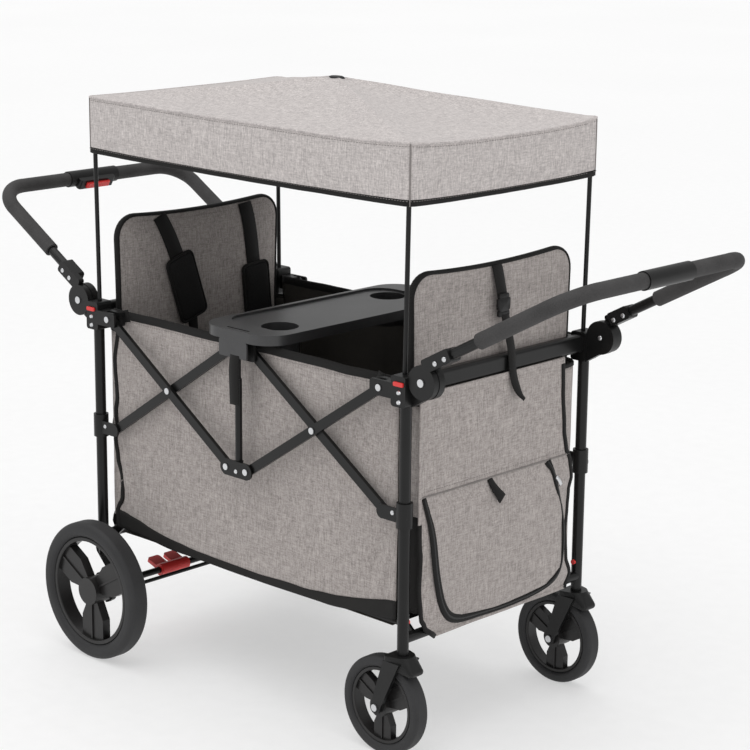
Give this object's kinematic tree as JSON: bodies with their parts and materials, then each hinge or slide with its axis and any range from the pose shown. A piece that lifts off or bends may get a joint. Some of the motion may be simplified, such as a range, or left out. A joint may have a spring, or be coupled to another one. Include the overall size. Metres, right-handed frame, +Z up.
{
  "type": "stroller wagon",
  "caption": "Folding four-wheeled stroller wagon: cloth tub on a scissor-link frame, tilting push handles, canopy on poles, tray with cup holders, swivel front casters and foot brake.",
  "frame": {"origin": "on the floor, under the middle of the overall box (midway between the handle tips)", "axes": "+X towards the front casters, -Y towards the side seen in the picture, +Z up"},
  "size_m": [1.6162, 0.703, 1.222],
  "materials": {
    "coated_steel": "charcoal powder coat",
    "black_plastic": "matte black moulded plastic",
    "plated_steel": "zinc plate",
    "red_plastic": "semi-gloss red plastic",
    "foam": "closed-cell foam",
    "tyre": "matte solid foam tyre",
    "grey_cloth": "heathered grey woven polyester with black binding"
  },
  "bodies": {
    "rear_frame": {"rear_end_frame": "coated_steel", "rear_castings": "black_plastic", "rear_top_rail": "coated_steel", "rear_axle": "coated_steel", "rear_rivets": "plated_steel", "rear_end_panel": "grey_cloth", "side_panels": "grey_cloth"},
    "rear_button_near": {"rear_button_near": "red_plastic"},
    "rear_button_far": {"rear_button_far": "red_plastic"},
    "rear_wheel_near": {"rear_tyre_near": "tyre", "rear_rim_near": "black_plastic"},
    "rear_wheel_far": {"rear_tyre_far": "tyre", "rear_rim_far": "black_plastic"},
    "brake_pedal": {"brake_pedal": "red_plastic"},
    "brake_bar": {"brake_bar": "coated_steel"},
    "rear_handle": {"rear_handle_tube": "coated_steel", "rear_handle_grip": "foam", "rear_handle_housing": "black_plastic", "rear_handle_hubs": "black_plastic"},
    "rear_trigger": {"rear_handle_trigger": "red_plastic"},
    "canopy": {"rear_canopy_poles": "coated_steel", "canopy_roof": "grey_cloth"},
    "front_poles": {"front_canopy_poles": "coated_steel"},
    "rear_backrest": {"rear_backrest": "grey_cloth"},
    "front_backrest": {"front_backrest": "grey_cloth"},
    "rear_drop_links": {"rear_drop_links": "coated_steel", "rear_link_pins": "plated_steel"},
    "rear_rise_links": {"rear_rise_links": "coated_steel"},
    "rear_sleeves": {"rear_sleeves": "black_plastic"},
    "lower_brackets": {"lower_brackets": "coated_steel"},
    "upper_brackets": {"upper_brackets": "black_plastic"},
    "front_rise_links": {"front_rise_links": "coated_steel", "front_link_pins": "plated_steel"},
    "front_drop_links": {"front_drop_links": "coated_steel"},
    "front_sleeves": {"front_sleeves": "black_plastic"},
    "front_frame": {"front_end_frame": "coated_steel", "front_castings": "black_plastic", "front_top_rail": "coated_steel", "front_rivets": "plated_steel", "front_end_panel": "grey_cloth"},
    "front_button_near": {"front_button_near": "red_plastic"},
    "front_button_far": {"front_button_far": "red_plastic"},
    "caster_near": {"caster_fork_near": "black_plastic"},
    "caster_far": {"caster_fork_far": "black_plastic"},
    "front_wheel_near": {"front_tyre_near": "tyre", "front_rim_near": "black_plastic"},
    "front_wheel_far": {"front_tyre_far": "tyre", "front_rim_far": "black_plastic"},
    "front_handle": {"front_handle_tube": "coated_steel", "front_handle_grip": "foam", "front_handle_housing": "black_plastic", "front_handle_hubs": "black_plastic"},
    "front_trigger": {"front_handle_trigger": "red_plastic"},
    "rear_floor": {"rear_floor_rails": "coated_steel", "rear_floor_board": "black_plastic"},
    "front_floor": {"front_floor_rails": "coated_steel", "front_floor_board": "black_plastic"},
    "tray": {"tray": "black_plastic"},
    "caster_button_near": {"caster_button_near": "red_plastic"},
    "caster_button_far": {"caster_button_far": "red_plastic"}
  },
  "joints": [
    {"name": "fold", "type": "hinge", "parent": "rear_frame", "child": "rear_drop_links", "pos_m": [-0.40679, 0, 0.712], "axis": [0, 1, 0], "range_deg": [0, 41.4], "deforming": ["side_panels", "canopy_roof"]},
    {"name": "lower_bracket_turn", "type": "hinge", "parent": "rear_drop_links", "child": "lower_brackets", "pos_m": [-0.04979, 0, 0.475], "axis": [0, 1, 0], "range_deg": [-41.4, 0]},
    {"name": "front_rise_turn", "type": "hinge", "parent": "lower_brackets", "child": "front_rise_links", "pos_m": [0.00621, 0, 0.475], "axis": [0, 1, 0], "range_deg": [-41.4, 0]},
    {"name": "front_frame_turn", "type": "hinge", "parent": "front_rise_links", "child": "front_frame", "pos_m": [0.36321, 0, 0.712], "axis": [0, 1, 0], "range_deg": [0, 41.4]},
    {"name": "rear_scissor", "type": "hinge", "parent": "rear_drop_links", "child": "rear_rise_links", "pos_m": [-0.22829, 0, 0.5935], "axis": [0, 1, 0], "range_deg": [-82.8, 0]},
    {"name": "rear_sleeve_turn", "type": "hinge", "parent": "rear_rise_links", "child": "rear_sleeves", "pos_m": [-0.40679, 0, 0.475], "axis": [0, 1, 0], "range_deg": [0, 41.4]},
    {"name": "upper_bracket_turn", "type": "hinge", "parent": "rear_rise_links", "child": "upper_brackets", "pos_m": [-0.04979, 0, 0.712], "axis": [0, 1, 0], "range_deg": [0, 41.4]},
    {"name": "front_scissor", "type": "hinge", "parent": "front_rise_links", "child": "front_drop_links", "pos_m": [0.18471, 0, 0.5935], "axis": [0, 1, 0], "range_deg": [0, 82.8]},
    {"name": "front_sleeve_turn", "type": "hinge", "parent": "front_drop_links", "child": "front_sleeves", "pos_m": [0.36321, 0, 0.475], "axis": [0, 1, 0], "range_deg": [-41.4, 0]},
    {"name": "rear_floor_fold", "type": "hinge", "parent": "rear_frame", "child": "rear_floor", "pos_m": [-0.42679, 0, 0.262], "axis": [0, 1, 0], "range_deg": [-66.88, 0]},
    {"name": "front_floor_fold", "type": "hinge", "parent": "front_frame", "child": "front_floor", "pos_m": [0.38321, 0, 0.262], "axis": [0, 1, 0], "range_deg": [0, 66.88]},
    {"name": "rear_wheel_near_spin", "type": "hinge", "parent": "rear_frame", "child": "rear_wheel_near", "pos_m": [-0.39679, -0.328, 0.146], "axis": [0, 1, 0], "continuous": true},
    {"name": "caster_near_swivel", "type": "hinge", "parent": "front_frame", "child": "caster_near", "pos_m": [0.41321, -0.255, 0.206], "axis": [0, 0, 1], "continuous": true},
    {"name": "front_wheel_near_spin", "type": "hinge", "parent": "caster_near", "child": "front_wheel_near", "pos_m": [0.37021, -0.255, 0.096], "axis": [0, 1, 0], "continuous": true},
    {"name": "rear_button_near_press", "type": "slide", "parent": "rear_frame", "child": "rear_button_near", "axis": [0, 1, 0], "range_m": [0, 0.0025], "stiffness_N_per_m": 400},
    {"name": "front_button_near_press", "type": "slide", "parent": "front_frame", "child": "front_button_near", "axis": [0, 1, 0], "range_m": [0, 0.0025], "stiffness_N_per_m": 400},
    {"name": "caster_button_near_press", "type": "slide", "parent": "front_frame", "child": "caster_button_near", "axis": [0, -1, 0], "range_m": [0, 0.002], "stiffness_N_per_m": 400},
    {"name": "rear_wheel_far_spin", "type": "hinge", "parent": "rear_frame", "child": "rear_wheel_far", "pos_m": [-0.39679, 0.328, 0.146], "axis": [0, 1, 0], "continuous": true},
    {"name": "caster_far_swivel", "type": "hinge", "parent": "front_frame", "child": "caster_far", "pos_m": [0.41321, 0.255, 0.206], "axis": [0, 0, 1], "continuous": true},
    {"name": "front_wheel_far_spin", "type": "hinge", "parent": "caster_far", "child": "front_wheel_far", "pos_m": [0.37021, 0.255, 0.096], "axis": [0, 1, 0], "continuous": true},
    {"name": "rear_button_far_press", "type": "slide", "parent": "rear_frame", "child": "rear_button_far", "axis": [0, -1, 0], "range_m": [0, 0.0025], "stiffness_N_per_m": 400},
    {"name": "front_button_far_press", "type": "slide", "parent": "front_frame", "child": "front_button_far", "axis": [0, -1, 0], "range_m": [0, 0.0025], "stiffness_N_per_m": 400},
    {"name": "caster_button_far_press", "type": "slide", "parent": "front_frame", "child": "caster_button_far", "axis": [0, 1, 0], "range_m": [0, 0.002], "stiffness_N_per_m": 400},
    {"name": "brake_pedal_press", "type": "hinge", "parent": "rear_frame", "child": "brake_pedal", "pos_m": [-0.39679, -0.115, 0.146], "axis": [0, -1, 0], "range_deg": [0, 25]},
    {"name": "brake_bar_slide", "type": "slide", "parent": "rear_frame", "child": "brake_bar", "axis": [-1, 0, 0], "range_m": [0, 0.0081]},
    {"name": "rear_handle_tilt", "type": "hinge", "parent": "rear_frame", "child": "rear_handle", "pos_m": [-0.50579, 0, 0.737], "axis": [0, 1, 0], "range_deg": [-95, 44]},
    {"name": "front_handle_tilt", "type": "hinge", "parent": "front_frame", "child": "front_handle", "pos_m": [0.46221, 0, 0.737], "axis": [0, -1, 0], "range_deg": [-93, 46]},
    {"name": "rear_trigger_pull", "type": "slide", "parent": "rear_handle", "child": "rear_trigger", "axis": [-0.8616, 0, 0.5075], "range_m": [0, 0.006], "stiffness_N_per_m": 400},
    {"name": "front_trigger_pull", "type": "slide", "parent": "front_handle", "child": "front_trigger", "axis": [0.8788, 0, 0.4772], "range_m": [0, 0.006], "stiffness_N_per_m": 400},
    {"name": "tray_lift", "type": "slide", "parent": "upper_brackets", "child": "tray", "axis": [0, 0, 1], "range_m": [0, 0.06]},
    {"name": "canopy_lift", "type": "slide", "parent": "rear_frame", "child": "canopy", "axis": [0, 0, 1], "range_m": [0, 0.045]},
    {"name": "front_pole_lift", "type": "slide", "parent": "front_frame", "child": "front_poles", "axis": [0, 0, 1], "range_m": [0, 0.045]},
    {"name": "rear_backrest_tilt", "type": "hinge", "parent": "rear_frame", "child": "rear_backrest", "pos_m": [-0.44549, 0, 0.4], "axis": [0, -1, 0], "range_deg": [-30, 0]},
    {"name": "front_backrest_tilt", "type": "hinge", "parent": "front_frame", "child": "front_backrest", "pos_m": [0.40191, 0, 0.4], "axis": [0, 1, 0], "range_deg": [-30, 0]}
  ],
  "couplings": [
    {"joint": "lower_bracket_turn", "follows": "fold", "ratio": -1},
    {"joint": "front_rise_turn", "follows": "fold", "ratio": -1},
    {"joint": "front_frame_turn", "follows": "fold", "ratio": 1},
    {"joint": "rear_scissor", "follows": "fold", "ratio": -2},
    {"joint": "rear_sleeve_turn", "follows": "fold", "ratio": 1},
    {"joint": "upper_bracket_turn", "follows": "fold", "ratio": 1},
    {"joint": "front_scissor", "follows": "fold", "ratio": 2},
    {"joint": "front_sleeve_turn", "follows": "fold", "ratio": -1},
    {"joint": "rear_floor_fold", "follows": "fold", "ratio": -1.6153},
    {"joint": "front_floor_fold", "follows": "fold", "ratio": 1.6153},
    {"joint": "brake_bar_slide", "follows": "brake_pedal_press", "m_per_rad": 0.01833},
    {"joint": "front_pole_lift", "follows": "canopy_lift", "ratio": 1}
  ]
}
